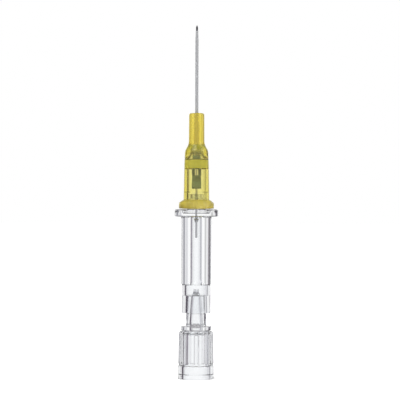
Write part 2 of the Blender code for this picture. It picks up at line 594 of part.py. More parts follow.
def build_catheter_hub(surface, parent):
    ring_step = FLANGE_HEIGHT / LUG_RINGS
    flange_radii = (
        LUG_ROOT_RADIUS, LUG_ROOT_RADIUS, LUG_RADIUS, LUG_RADIUS, LUG_ROOT_RADIUS, LUG_ROOT_RADIUS,
    )
    flange = [(radius, CATHETER_REAR + i * ring_step) for i, radius in enumerate(flange_radii)]
    shoulder_drop = BODY_FRONT_RADIUS - SPOUT_REAR_RADIUS
    shoulder = [
        (BODY_FRONT_RADIUS - inward * shoulder_drop, BODY_END + upward * SHOULDER_LENGTH)
        for inward, upward in SHOULDER_SHARES
    ]
    outside = flange + [
        (BODY_REAR_RADIUS, FLANGE_TOP + EDGE),
        (BODY_MIDDLE_RADIUS, RIDGE_START),
        *shoulder,
        (SPOUT_REAR_RADIUS, SPOUT_START),
        *arc(SPOUT_FRONT_RADIUS - SPOUT_EDGE, SPOUT_TIP - SPOUT_EDGE, SPOUT_EDGE, SPOUT_EDGE, 0, 90),
    ]
    bore = TUBE_RADIUS + RUNNING_GAP
    grip_bore = TUBE_GRIP_RADIUS + RUNNING_GAP
    wedge_seat = WEDGE_RADIUS + FIT_GAP
    tube_passage = [
        (bore, SPOUT_TIP),
        (bore, TUBE_FLARE_END + FINE_EDGE),
        (grip_bore, TUBE_GRIP_END + FINE_EDGE),
        (grip_bore, WEDGE_TUBE_START),
        (wedge_seat, WEDGE_REAR + WEDGE_COLLAR),
        (wedge_seat, WEDGE_REAR),
    ]
    clip_room = [
        (FRONT_CAVITY_RADIUS, RIDGE_END + CAVITY_STEP),
        (RIDGE_RADIUS, RIDGE_END),
        (RIDGE_RADIUS, RIDGE_START),
        (CLIP_CHAMBER_RADIUS, RIDGE_START - CAVITY_STEP),
        (CLIP_CHAMBER_RADIUS, NOSE_TIP + SOCKET_RUN_ON + EDGE),
    ]
    socket = [
        (nose_taper_radius(height) + FIT_GAP, height)
        for height in (NOSE_TIP + SOCKET_RUN_ON, CATHETER_REAR + EDGE)
    ]
    mouth = (nose_taper_radius(CATHETER_REAR) + FIT_GAP + EDGE, CATHETER_REAR)
    mesh = spin_profile(outside + tube_passage + clip_room + socket + [mouth], HUB_FACETS)
    wind_lugs(mesh)
    return put_in_scene(mesh, "catheter_hub", CATHETER_REAR, parent, surface)


def build_tube_wedge(surface, parent):
    profile = [
        (WEDGE_RADIUS, WEDGE_REAR),
        (WEDGE_RADIUS, WEDGE_REAR + WEDGE_COLLAR),
        (WEDGE_TUBE_RADIUS, WEDGE_TUBE_START),
        (WEDGE_TUBE_RADIUS, WEDGE_TIP),
        (TUBE_BORE_RADIUS, WEDGE_TIP),
        (TUBE_BORE_RADIUS, WEDGE_TUBE_START - WEDGE_WALL),
        (WEDGE_RADIUS - WEDGE_WALL, WEDGE_REAR + WEDGE_COLLAR - WEDGE_WALL),
        (WEDGE_RADIUS - WEDGE_WALL, WEDGE_REAR),
    ]
    mesh = spin_profile(profile, TUBE_FACETS)
    return put_in_scene(mesh, "tube_wedge", WEDGE_REAR, parent, surface)


def build_catheter_tube(surface, parent):
    profile = [
        (TUBE_GRIP_RADIUS, TUBE_REAR),
        (TUBE_GRIP_RADIUS, TUBE_GRIP_END),
        (TUBE_RADIUS, TUBE_FLARE_END),
        (TUBE_RADIUS, TUBE_TIP - TUBE_TIP_TAPER),
        (NEEDLE_HOLE_RADIUS + TUBE_TIP_WALL, TUBE_TIP),
        (NEEDLE_HOLE_RADIUS, TUBE_TIP),
        (NEEDLE_HOLE_RADIUS, TUBE_TIP - TUBE_TIP_TAPER / 4),
        (TUBE_BORE_RADIUS, TUBE_TIP - TUBE_TIP_TAPER / 2),
        (TUBE_BORE_RADIUS, TUBE_FLARE_END),
        (TUBE_GRIP_BORE_RADIUS, TUBE_GRIP_END),
        (TUBE_GRIP_BORE_RADIUS, TUBE_REAR),
    ]
    mesh = spin_profile(profile, TUBE_FACETS)
    return put_in_scene(mesh, "catheter_tube", TUBE_REAR, parent, surface)


def main():
    clear_scene()
    clear_plastic = material("clear_moulding", (0.86, 0.88, 0.9), 0.08, alpha=0.4)
    yellow_plastic = material("yellow_moulding", (0.78, 0.6, 0.06), 0.12, alpha=0.75)
    steel = material("ground_steel", (0.62, 0.62, 0.64), 0.25, metallic=1.0)
    clip_steel = material("strip_steel", (0.42, 0.42, 0.44), 0.35, metallic=1.0)
    film = material("catheter_film", (0.72, 0.73, 0.74), 0.35)
    glue = material("cured_glue", (0.8, 0.82, 0.78), 0.2, alpha=0.6)
    porous = material("porous_filter", (0.88, 0.85, 0.86), 0.8)

    build_vent_plug(clear_plastic)
    build_vent_filter(porous)
    needle_unit = carrier("needle_unit", HUB_REAR)
    build_needle_hub(clear_plastic, needle_unit)
    build_needle_adhesive(glue, needle_unit)
    build_needle(steel, needle_unit)
    clip_unit = carrier("clip_unit", CLIP_BASE, needle_unit)
    build_safety_clip(clip_steel, clip_unit)
    catheter_unit = carrier("catheter_unit", CATHETER_REAR, clip_unit)
    build_catheter_hub(yellow_plastic, catheter_unit)
    build_tube_wedge(steel, catheter_unit)
    build_catheter_tube(film, catheter_unit)


main()
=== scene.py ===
import math

import bmesh
import bpy
from mathutils import Matrix, Vector


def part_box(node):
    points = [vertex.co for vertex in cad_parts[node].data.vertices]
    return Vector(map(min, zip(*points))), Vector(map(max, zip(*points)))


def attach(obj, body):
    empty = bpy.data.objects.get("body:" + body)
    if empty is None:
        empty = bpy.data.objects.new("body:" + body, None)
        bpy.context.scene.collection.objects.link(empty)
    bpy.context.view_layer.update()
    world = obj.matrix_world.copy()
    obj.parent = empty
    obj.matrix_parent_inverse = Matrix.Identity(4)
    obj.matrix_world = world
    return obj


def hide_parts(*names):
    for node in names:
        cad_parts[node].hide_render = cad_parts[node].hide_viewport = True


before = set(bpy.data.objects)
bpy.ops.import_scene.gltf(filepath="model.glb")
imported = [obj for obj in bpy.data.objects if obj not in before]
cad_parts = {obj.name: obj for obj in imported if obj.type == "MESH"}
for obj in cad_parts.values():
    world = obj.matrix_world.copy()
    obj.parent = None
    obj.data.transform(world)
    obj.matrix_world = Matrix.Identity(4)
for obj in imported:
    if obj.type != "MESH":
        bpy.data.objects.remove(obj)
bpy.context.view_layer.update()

mm = 0.001  # lengths below are in millimetres, and finishPiece scales each mesh to metres
print("frame loaded")


def foot(node):
    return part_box(node)[0].z / mm


def top(node):
    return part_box(node)[1].z / mm


# Materials

def linear(hexColour):
    # an sRGB hex colour as the linear values that the sockets take
    parts = [int(hexColour[i:i + 2], 16) / 255 for i in (0, 2, 4)]
    return [p / 12.92 if p <= 0.04045 else ((p + 0.055) / 1.055) ** 2.4 for p in parts] + [1.0]


def addNode(tree, kind, settings=None, links=None):
    # settings name sockets or properties, links name the sockets that other nodes feed,
    # and a number stands for a socket by its place
    node = tree.nodes.new(kind)
    for name, value in (settings or {}).items():
        if isinstance(name, int) or name in node.inputs:
            node.inputs[name].default_value = value
        else:
            setattr(node, name, value)
    for name, source in (links or {}).items():
        tree.links.new(source, node.inputs[name])
    return node


def newMaterial(name):
    material = bpy.data.materials.new(name)
    material.use_nodes = True
    material.node_tree.nodes.clear()
    return material, material.node_tree


def fillRamp(ramp, stops, low, high):
    # stops are (place, value) pairs, where the value is an sRGB hex colour or a plain level;
    # a new ramp has two stops already
    for i, (place, value) in enumerate(stops):
        position = (place - low) / (high - low)
        stop = ramp.elements[i] if i < 2 else ramp.elements.new(position)
        stop.position = position
        stop.color = linear(value) if isinstance(value, str) else (value, value, value, 1.0)


def perMetre(sizeInMm):
    # texture scale for a pattern of that size, on coordinates in metres
    return 1 / (sizeInMm * mm)


clearMoulding = {"colour": "FBFCFD", "ior": 1.585, "roughness": 0.0, "waveSize": 1.6, "waveDepth": 0.0006}


def makeClearMoulding(name, values):
    # Polycarbonate, injection moulded in a polished tool: water clear, with a very slight flow wave
    material, tree = newMaterial(name)
    place = addNode(tree, "ShaderNodeTexCoord")
    wave = addNode(
        tree, "ShaderNodeTexNoise", {"Scale": perMetre(values["waveSize"]), "Detail": 1.0},
        {"Vector": place.outputs["Object"]},
    )
    bump = addNode(
        tree, "ShaderNodeBump", {"Strength": 1.0, "Distance": values["waveDepth"] * mm},
        {"Height": wave.outputs["Fac"]},
    )
    shader = addNode(
        tree, "ShaderNodeBsdfPrincipled",
        {
            "Base Color": linear(values["colour"]), "IOR": values["ior"], "Roughness": values["roughness"],
            "Transmission Weight": 1.0,
        },
        {"Normal": bump.outputs["Normal"]},
    )
    addNode(tree, "ShaderNodeOutputMaterial", links={"Surface": shader.outputs["BSDF"]})
    return material


yellowMoulding = {
    "ior": 1.5, "roughness": 0.06, "absorbed": "F8F000", "density": 640,
    "hazeRoughness": 0.35, "waveSize": 1.2, "waveDepth": 0.0008,
}
# How hazy the yellow hub's skin is, by height in millimetres: the flange, the ring over the inner ridge,
# the shoulder and the spout are thick and scatter most of the light, and the body between them is clear.
hazeByHeight = [
    (38.6, 0.5), (40.55, 0.5), (40.75, 0.05), (47.7, 0.05), (47.85, 0.5), (49.65, 0.5), (49.8, 0.1),
    (51.2, 0.12), (51.9, 0.25), (52.3, 0.45), (53.0, 0.45), (53.4, 0.34), (60.3, 0.34),
]
# The colour of that haze, by height too; the darker olive from 52.3 to 53 mm is painted shade, for the steel
# funnel inside showing dark
hazeTintsAndPaintedShade = [
    (38.6, "F0DC66"), (40.6, "DCCC54"), (40.8, "E8DC60"), (47.7, "D8CC48"), (47.85, "D2C93A"),
    (49.65, "D2C93A"), (50.0, "D8D270"), (51.6, "D8D05C"), (52.3, "B8B436"), (53.0, "BCB83A"),
    (53.4, "F8DE44"), (60.3, "F8E250"),
]


def makeYellowMoulding(name, values):
    # Polypropylene with a clear yellow tint, injection moulded:
    # deep yellow where it is thick and cream where it is thin
    material, tree = newMaterial(name)
    place = addNode(tree, "ShaderNodeTexCoord")
    parts = addNode(tree, "ShaderNodeSeparateXYZ", links={"Vector": place.outputs["Object"]})
    wave = addNode(
        tree, "ShaderNodeTexNoise", {"Scale": perMetre(values["waveSize"]), "Detail": 1.0},
        {"Vector": place.outputs["Object"]},
    )
    bump = addNode(
        tree, "ShaderNodeBump", {"Strength": 1.0, "Distance": values["waveDepth"] * mm},
        {"Height": wave.outputs["Fac"]},
    )
    clear = addNode(
        tree, "ShaderNodeBsdfPrincipled",
        {
            "Base Color": linear("FFFFFF"), "IOR": values["ior"], "Roughness": values["roughness"],
            "Transmission Weight": 1.0,
        },
        {"Normal": bump.outputs["Normal"]},
    )
    low, high = foot("catheter_hub"), top("catheter_hub")
    along = addNode(
        tree, "ShaderNodeMapRange", {"From Min": low * mm, "From Max": high * mm},
        {"Value": parts.outputs["Z"]},
    )
    haze = addNode(tree, "ShaderNodeValToRGB", links={"Fac": along.outputs["Result"]})
    fillRamp(haze.color_ramp, hazeByHeight, low, high)
    # the haze's colour by height, with painted shade at the shoulder
    tintsAndPaintedShade = addNode(tree, "ShaderNodeValToRGB", links={"Fac": along.outputs["Result"]})
    fillRamp(tintsAndPaintedShade.color_ramp, hazeTintsAndPaintedShade, low, high)
    hazy = addNode(
        tree, "ShaderNodeBsdfPrincipled", {"IOR": values["ior"], "Roughness": values["hazeRoughness"]},
        {"Base Color": tintsAndPaintedShade.outputs["Color"], "Normal": bump.outputs["Normal"]},
    )
    skin = addNode(
        tree, "ShaderNodeMixShader",
        links={0: haze.outputs["Color"], 1: clear.outputs["BSDF"], 2: hazy.outputs["BSDF"]},
    )
    tint = addNode(
        tree, "ShaderNodeVolumeAbsorption",
        {"Color": linear(values["absorbed"]), "Density": values["density"]},
    )
    addNode(
        tree, "ShaderNodeOutputMaterial",
        links={"Surface": skin.outputs["Shader"], "Volume": tint.outputs["Volume"]},
    )
    return material


drawnSteel = {
    "colour": "B9B9BC", "roughness": 0.28, "lineWidth": 0.05, "lineDepth": 0.0008, "alongShare": 0.02,
}
# The needle's colour by height in mm, with painted shade: a dark band at the side notch's hollow, and at the
# bevelled tip's lumen.
needleTintsAndPaintedShade = [
    (60.0, "B9B9BC"), (73.4, "B9B9BC"), (73.8, "6E6E74"), (74.4, "6E6E74"), (74.8, "B9B9BC"),
    (78.6, "B9B9BC"), (79.0, "58585E"), (79.9, "4C4C52"), (80.4, "77777C"),
]


def makeDrawnSteel(name, values):
    # Stainless steel, drawn through a die or rolled: fine lines run along it
    material, tree = newMaterial(name)
    place = addNode(tree, "ShaderNodeTexCoord")
    stretch = addNode(
        tree, "ShaderNodeMapping", {"Scale": (1.0, 1.0, values["alongShare"])},
        {"Vector": place.outputs["Object"]},
    )
    lines = addNode(
        tree, "ShaderNodeTexNoise", {"Scale": perMetre(values["lineWidth"]), "Detail": 2.0},
        {"Vector": stretch.outputs["Vector"]},
    )
    bump = addNode(
        tree, "ShaderNodeBump", {"Strength": 1.0, "Distance": values["lineDepth"] * mm},
        {"Height": lines.outputs["Fac"]},
    )
    links = {"Normal": bump.outputs["Normal"]}
    # a colour ramp by height; the needle's holds painted shade at its side notch and at its tip
    if "tintsAndPaintedShade" in values:
        low, high = values["tintsAndPaintedShade"][0][0], top("needle")
        parts = addNode(tree, "ShaderNodeSeparateXYZ", links={"Vector": place.outputs["Object"]})
        along = addNode(
            tree, "ShaderNodeMapRange", {"From Min": low * mm, "From Max": high * mm},
            {"Value": parts.outputs["Z"]},
        )
        tintsAndPaintedShade = addNode(tree, "ShaderNodeValToRGB", links={"Fac": along.outputs["Result"]})
        fillRamp(tintsAndPaintedShade.color_ramp, values["tintsAndPaintedShade"], low, high)
        links["Base Color"] = tintsAndPaintedShade.outputs["Color"]
    shader = addNode(
        tree, "ShaderNodeBsdfPrincipled",
        {"Base Color": linear(values["colour"]), "Metallic": 1.0, "Roughness": values["roughness"]},
        links,
    )
    addNode(tree, "ShaderNodeOutputMaterial", links={"Surface": shader.outputs["BSDF"]})
    return material


extrudedFilm = {
    "colour": "D9DADC", "ior": 1.4, "roughness": 0.38, "clearness": 0.54,
    "streakWidth": 0.08, "streakDepth": 0.0006, "alongShare": 0.03,
}


def makeExtrudedFilm(name, values):
    # Fluoropolymer, extruded as a thin tube: milky and satin, with faint streaks along it
    material, tree = newMaterial(name)
    place = addNode(tree, "ShaderNodeTexCoord")
    stretch = addNode(
        tree, "ShaderNodeMapping", {"Scale": (1.0, 1.0, values["alongShare"])},
        {"Vector": place.outputs["Object"]},
    )
    streaks = addNode(
        tree, "ShaderNodeTexNoise", {"Scale": perMetre(values["streakWidth"]), "Detail": 2.0},
        {"Vector": stretch.outputs["Vector"]},
    )
    bump = addNode(
        tree, "ShaderNodeBump", {"Strength": 1.0, "Distance": values["streakDepth"] * mm},
        {"Height": streaks.outputs["Fac"]},
    )
    shader = addNode(
        tree, "ShaderNodeBsdfPrincipled",
        {
            "Base Color": linear(values["colour"]), "IOR": values["ior"], "Roughness": values["roughness"],
            "Transmission Weight": values["clearness"],
        },
        {"Normal": bump.outputs["Normal"]},
    )
    addNode(tree, "ShaderNodeOutputMaterial", links={"Surface": shader.outputs["BSDF"]})
    return material


porousPad = {"colour": "E4DEE0", "roughness": 0.9, "grain": 0.06, "grainDepth": 0.02}


def makePorousPad(name, values):
    # Sintered polyethylene: pressed grains with pores between them, matte and slightly pink
    material, tree = newMaterial(name)
    place = addNode(tree, "ShaderNodeTexCoord")
    grains = addNode(
        tree, "ShaderNodeTexVoronoi", {"Scale": perMetre(values["grain"])},
        {"Vector": place.outputs["Object"]},
    )
    bump = addNode(
        tree, "ShaderNodeBump", {"Strength": 1.0, "Distance": values["grainDepth"] * mm, "invert": True},
        {"Height": grains.outputs["Distance"]},
    )
    shader = addNode(
        tree, "ShaderNodeBsdfPrincipled",
        {"Base Color": linear(values["colour"]), "Roughness": values["roughness"]},
        {"Normal": bump.outputs["Normal"]},
    )
    addNode(tree, "ShaderNodeOutputMaterial", links={"Surface": shader.outputs["BSDF"]})
    return material


clearPlugPlastic = makeClearMoulding("moulded_polycarbonate_plug", clearMoulding)
clearHubPlastic = makeClearMoulding("moulded_polycarbonate_hub", clearMoulding)
yellowPlastic = makeYellowMoulding("moulded_tinted_polypropylene", yellowMoulding)
needleSteel = makeDrawnSteel("drawn_stainless_steel", {**drawnSteel, "tintsAndPaintedShade": needleTintsAndPaintedShade})
wedgeSteel = makeDrawnSteel("pressed_stainless_steel", drawnSteel)
# the clip's steel is given a dark green-grey, far darker than the needle's: painted shade for the clip inside
# the yellow hub
stripSteel = makeDrawnSteel("rolled_strip_steel", {**drawnSteel, "colour": "6D807A", "roughness": 0.34})
tubeFilm = makeExtrudedFilm("extruded_fluoropolymer", extrudedFilm)
filterPad = makePorousPad("sintered_polyethylene", porousPad)
curedGlue = makeClearMoulding("cured_clear_glue", {**clearMoulding, "colour": "EEF0EA", "ior": 1.5})
print("materials made")


# Shaping

# The radius of each kind of corner in millimetres. Corners of one kind are rounded together,
# and a corner with no room for its radius leaves its whole kind sharp.
rounds = {
    "sharp": 0, "hair": 0.01, "seat": 0.02, "bore": 0.03, "crisp": 0.04, "step": 0.05, "nozzle": 0.06,
    "eased": 0.08, "soft": 0.1, "edge": 0.12, "roof": 0.15, "bend": 0.3, "plate": 0.35, "flare": 0.4,
    "gripShoulder": 0.42, "spout": 0.45, "body": 0.5, "neck": 0.6,
}
weldDistance = 1e-5


def turned(corners, steps, rowLength=None):
    # a closed ring of (radius, height, kind of corner), rounded and spun about the axis;
    # rowLength cuts long walls into rows, so that they can be shaped further
    mesh = bmesh.new()
    points = [mesh.verts.new((radius, 0, height)) for radius, height, kind in corners]
    for i in range(len(points)):
        mesh.edges.new((points[i - 1], points[i]))
    groups = {}
    for point, (radius, height, kind) in zip(points, corners):
        groups.setdefault(kind, []).append(point)
    for kind, group in groups.items():
        if rounds[kind]:
            bmesh.ops.bevel(
                mesh, geom=group, offset=rounds[kind], affect="VERTICES", clamp_overlap=True,
                segments=8 if rounds[kind] >= rounds["bend"] else 4, profile=0.5, material=-1,
            )
    if rowLength:
        for edge in list(mesh.edges):
            cuts = int(edge.calc_length() / rowLength)
            if cuts:
                bmesh.ops.subdivide_edges(mesh, edges=[edge], cuts=cuts)
    bmesh.ops.spin(
        mesh, geom=mesh.verts[:] + mesh.edges[:], cent=(0, 0, 0), axis=(0, 0, 1), dvec=(0, 0, 0),
        angle=math.tau, steps=steps, use_merge=True, use_normal_flip=False, use_duplicate=False,
    )
    bmesh.ops.remove_doubles(mesh, verts=mesh.verts, dist=weldDistance)
    bmesh.ops.recalc_face_normals(mesh, faces=mesh.faces)
    return mesh


def finishPiece(mesh, name, material, body, node):
    # puts the mesh in the scene at its real size, in the place of the CAD node
    bmesh.ops.scale(mesh, verts=mesh.verts, vec=(mm, mm, mm))
    data = bpy.data.meshes.new(name)
    mesh.to_mesh(data)
    mesh.free()
    data.materials.append(material)
    data.shade_smooth()
    piece = bpy.data.objects.new(name, data)
    bpy.context.scene.collection.objects.link(piece)
    weight = piece.modifiers.new("flat faces stay flat", "WEIGHTED_NORMAL")
    weight.weight = 80  # the largest faces decide how a corner is shaded
    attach(piece, body)
    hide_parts(node)
    print("made", name, len(data.polygons), "faces")


def limited(value, low, high):
    return max(low, min(high, value))


def smoothStep(share):
    share = limited(share, 0, 1)
    return share * share * (3 - 2 * share)


# Vent plug

ventPlug = {
    "bandRadius": 4.05, "bandHeight": 2.75, "ledgeHeight": 0.68,
    "gripRearRadius": 3.8, "gripFrontRadius": 3.7, "gripHeight": 6.57, "ribs": 14, "ribHeight": 0.2,
    "ribTurnShare": -0.07, "ribSteepness": 1.6, "ribFlatShare": 0.3, "ribRearFade": 0.2, "ribFrontFade": 0.6,
    "shoulderLead": 0.1, "shoulderHeight": 0.9, "neckRadius": 3.2, "neckHeight": 0.2,
    "discRadius": 3.45, "discThickness": 0.85, "collarRadius": 2.3, "collarHeight": 2.85,
    "taperLength": 6.9, "taperTip": 1.93, "taperShare": 0.03,
    "nozzleLength": 1.45, "nozzleBase": 1.05, "nozzleTip": 0.6, "nozzleStraight": 0.6, "nozzleBore": 0.2,
    "lumenRear": 1.2, "lumenFront": 0.78, "lumenSlope": 0.15,
    "filterBore": 1.07, "lipWidth": 0.12, "lipThickness": 0.15,
    "holderRadius": 1.3, "holderHeight": 0.9, "cupRoof": 1.95, "cupRoofDepth": 0.95, "cupSlopeHeight": 0.95,
    "cupFront": 2.6, "cupRear": 2.85, "cupMouth": 2.95, "mouthDepth": 1.15, "cupStep": 0.15,
    "skinMargin": 0.05, "steps": 280,
}


def makeVentPlug(v):
    ribStart = v["bandHeight"] + v["ledgeHeight"]
    ribEnd = ribStart + v["gripHeight"]
    neckStart = ribEnd + v["shoulderHeight"]
    discStart = neckStart + v["neckHeight"]
    discEnd = discStart + v["discThickness"]
    taperTip = discEnd + v["taperLength"]
    nozzleTip = top("vent_plug")
    seat = discEnd + v["lipThickness"]
    collarEnd = discEnd + v["collarHeight"]
    cupRoof = discEnd - v["cupRoofDepth"]
    holderEnd = cupRoof - v["holderHeight"]
    corners = [
        (v["bandRadius"], 0.0, "edge"),
        (v["bandRadius"], v["bandHeight"], "eased"),
        (v["gripRearRadius"], ribStart, "eased"),
        (v["gripFrontRadius"], ribEnd - v["shoulderLead"], "sharp"),
        (v["gripFrontRadius"], neckStart, "gripShoulder"),
        (v["neckRadius"], neckStart, "crisp"),
        (v["neckRadius"], discStart, "crisp"),
        (v["discRadius"], discStart, "edge"),
        (v["discRadius"], discEnd, "edge"),
        (v["collarRadius"], discEnd, "eased"),
        (v["collarRadius"], collarEnd, "eased"),
        (v["taperTip"] + v["taperShare"] * (taperTip - collarEnd), collarEnd, "crisp"),
        (v["taperTip"], taperTip, "edge"),
        (v["nozzleBase"], taperTip, "nozzle"),
        (v["nozzleTip"], nozzleTip - v["nozzleStraight"], "bend"),
        (v["nozzleTip"], nozzleTip, "nozzle"),
        (v["nozzleBore"], nozzleTip, "bore"),
        (v["nozzleBore"], taperTip + v["lumenSlope"], "step"),
        (v["lumenFront"], taperTip - v["lumenSlope"], "soft"),
        (v["lumenRear"], seat + v["lipThickness"], "step"),
        (v["filterBore"] - v["lipWidth"], seat + v["lipThickness"], "seat"),
        (v["filterBore"] - v["lipWidth"], seat, "seat"),
        (v["filterBore"], seat, "seat"),
        (v["filterBore"], holderEnd, "crisp"),
        (v["holderRadius"], holderEnd, "crisp"),
        (v["holderRadius"], cupRoof, "eased"),
        (v["cupRoof"], cupRoof, "roof"),
        (v["cupFront"], cupRoof - v["cupSlopeHeight"], "bend"),
        (v["cupFront"], v["bandHeight"] + v["cupStep"], "step"),
        (v["cupRear"], v["bandHeight"], "step"),
        (v["cupRear"], v["mouthDepth"], "crisp"),
        (v["cupMouth"], v["mouthDepth"] - v["cupStep"], "crisp"),
        (v["cupMouth"], 0.0, "step"),
    ]
    mesh = turned(corners, v["steps"])
    pitch = math.tau / v["ribs"]
    for vert in mesh.verts:
        radius = math.hypot(vert.co.x, vert.co.y)
        onGrip = ribStart - v["ribRearFade"] < vert.co.z < neckStart
        if radius < v["cupMouth"] + v["skinMargin"] or not onGrip:
            continue
        # the grip's ribs: a flat-topped wave round the skin, which fades out at both ends
        angle = math.atan2(vert.co.y, vert.co.x) + pitch * v["ribTurnShare"]
        wave = 0.5 + 0.5 * math.cos(angle * v["ribs"])
        rearFade = smoothStep((vert.co.z - ribStart + v["ribRearFade"] / 2) / v["ribRearFade"])
        fade = rearFade * smoothStep((neckStart - vert.co.z) / v["ribFrontFade"])
        crown = smoothStep(wave * v["ribSteepness"] - v["ribFlatShare"])
        lift = 1 + v["ribHeight"] * crown * fade / radius
        vert.co.x *= lift
        vert.co.y *= lift
    finishPiece(mesh, "clear_vent_plug", clearPlugPlastic, "plug_unit", "vent_plug")


makeVentPlug(ventPlug)


# Needle hub

needleHub = {
    "rearRadius": 3.28, "rearLength": 6.4, "ledge": 0.12,
    "gripRear": 3.4, "gripFront": 3.5, "gripLength": 15.44,
    "windowHalfAngle": 24, "windowEdgeAngle": 3, "stepGroove": 0.12, "grooveMargin": 0.01, "gripMargin": 0.03,
    "plateRadius": 4.95, "plateHalfDepth": 3.9, "plateThickness": 1.66,
    "plateSlope": 0.5, "plateSlopeHeight": 0.9,
    "noseLength": 3.45, "noseTip": 1.93, "taperShare": 0.03, "recessRadius": 0.98, "recessDepth": 1.05,
    "needleHole": 0.245, "bossLength": 1.29, "bossTipWall": 0.07, "bossWaist": 0.45, "chamberRadius": 1.05,
    "chamberRear": 1.36, "flareLength": 1.0, "reliefRadius": 2.33, "reliefHeadroom": 0.06, "socketGap": 0.02,
    "rowLength": 0.5, "steps": 192,
}


def makeNeedleHub(v):
    rear = foot("needle_hub")
    noseTip = top("needle_hub")
    gripRear = rear + v["rearLength"]
    plateBottom = gripRear + v["gripLength"]
    plateTop = plateBottom + v["plateThickness"]
    bossTip = plateBottom - v["bossLength"]
    nozzleTip = top("vent_plug")
    plugTaperTip = nozzleTip - ventPlug["nozzleLength"]
    reliefStart = plugTaperTip + v["reliefHeadroom"]

    def socketRadius(height):
        return ventPlug["taperTip"] + ventPlug["taperShare"] * (plugTaperTip - height) + v["socketGap"]

    corners = [
        (v["rearRadius"], rear, "edge"),
        (v["rearRadius"], gripRear - v["stepGroove"], "bore"),
        (v["rearRadius"] - v["stepGroove"], gripRear, "seat"),
        (v["gripRear"], gripRear + v["ledge"], "crisp"),
        (v["gripFront"], plateBottom, "eased"),
        (v["plateRadius"], plateBottom, "plate"),
        (v["plateRadius"], plateTop - v["plateSlopeHeight"], "sharp"),
        (v["plateRadius"], plateTop, "plate"),
        (v["noseTip"] + v["taperShare"] * v["noseLength"], plateTop, "eased"),
        (v["noseTip"], noseTip, "edge"),
        (v["recessRadius"], noseTip, "step"),
        (v["recessRadius"], noseTip - v["recessDepth"], "step"),
        (v["needleHole"], noseTip - v["recessDepth"], "seat"),
        (v["needleHole"], bossTip, "hair"),
        (v["needleHole"] + v["bossTipWall"], bossTip, "seat"),
        (v["bossWaist"], bossTip + v["bossLength"] / 2, "flare"),
        (v["chamberRadius"], plateBottom, "bore"),
        (v["chamberRadius"], gripRear + v["flareLength"], "flare"),
        (v["chamberRear"], gripRear, "hair"),
        (v["reliefRadius"], gripRear, "seat"),
        (v["reliefRadius"], reliefStart, "seat"),
        (socketRadius(reliefStart), reliefStart, "seat"),
        (socketRadius(rear), rear, "soft"),
    ]
    mesh = turned(corners, v["steps"], v["rowLength"])
    windowFloor = v["rearRadius"] - v["stepGroove"] - v["grooveMargin"]
    windowStart = gripRear - v["stepGroove"]
    windowEnd = plateBottom + v["gripMargin"]
    for vert in mesh.verts:
        radius = math.hypot(vert.co.x, vert.co.y)
        if radius > v["gripFront"] + v["gripMargin"]:
            # the push-off plate: cut straight at the front and the back, with sloping upper edges
            slope = v["plateSlope"] * max(0, vert.co.z - plateTop + v["plateSlopeHeight"])
            halfDepth = v["plateHalfDepth"] - (v["plateRadius"] - radius) - slope
            vert.co.y = limited(vert.co.y, -halfDepth, halfDepth)
        elif radius > windowFloor and windowStart < vert.co.z < windowEnd:
            # a round window at the front and the back, flush with the tube behind the grip
            fromFront = math.degrees(math.atan2(abs(vert.co.x), abs(vert.co.y)))
            outward = smoothStep((fromFront - v["windowHalfAngle"]) / v["windowEdgeAngle"])
            wanted = v["rearRadius"] + (radius - v["rearRadius"]) * outward
            vert.co.x *= wanted / radius
            vert.co.y *= wanted / radius
    finishPiece(mesh, "clear_needle_hub", clearHubPlastic, "needle_unit", "needle_hub")


makeNeedleHub(needleHub)


# Catheter hub

catheterHub = {
    "flangeHeight": 1.88, "lugRadius": 3.98, "lugRoot": 3.3, "lugLead": 5.0, "lugLand": 1.23, "lugFlank": 0.6,
    "lugSpanShare": 0.9, "lugEndShare": 0.08, "flangeRows": 5, "fineEdge": 0.03,
    "bodyRear": 2.93, "bodyMiddle": 2.8, "bodyFront": 2.66, "shoulderLength": 1.6,
    "spoutRear": 1.78, "spoutFront": 1.73, "spoutLength": 7.0,
    "clipChamber": 1.862, "ridgeHeight": 0.2, "ridgeLength": 1.8, "ridgeToBodyEnd": 2.05, "frontCavity": 2.0,
    "cavityStep": 0.25, "socketRunOn": 0.35, "socketStep": 0.15, "bodyStep": 0.15,
    "tubeRadius": 0.36, "snugGap": 0.015, "fitGap": 0.02, "wedgeRim": 0.3, "wedgeFunnel": 1.8,
    "gripEnd": 0.18, "gripRunOut": 0.68, "lugMargin": 0.05, "rootMargin": 0.03, "rowMargin": 0.01,
    "steps": 192,
}


